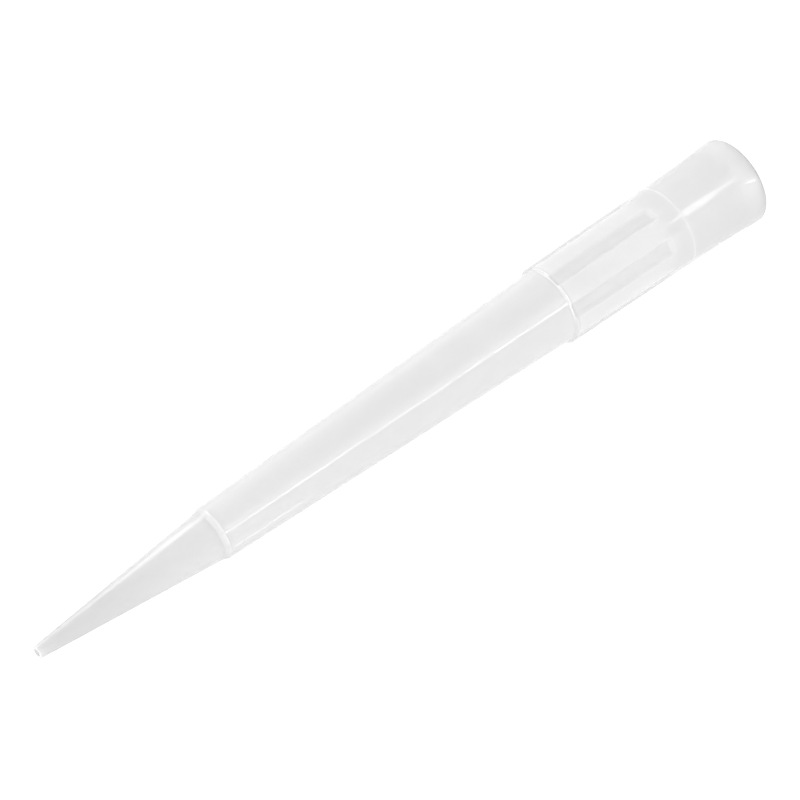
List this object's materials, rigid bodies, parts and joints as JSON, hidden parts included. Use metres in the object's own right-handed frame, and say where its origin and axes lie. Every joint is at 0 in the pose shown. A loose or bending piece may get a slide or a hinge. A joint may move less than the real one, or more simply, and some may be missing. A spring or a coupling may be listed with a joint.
{
  "type": "pipette tip",
  "caption": "Long one-piece pipette tip: a hollow two-stage cone with a mark ring, a grooved sleeve with a shoulder, and a flared open mouth.",
  "frame": {"origin": "centre of the rim, on the surface that the tip stands on", "axes": "+Z along the tip's axis from the rim to the orifice; a land between two grooves faces -Y"},
  "size_m": [0.009, 0.009, 0.0835],
  "materials": {
    "polypropylene": "translucent, softly glossy"
  },
  "bodies": {
    "root": {"pipette_tip": "polypropylene"}
  },
  "joints": []
}
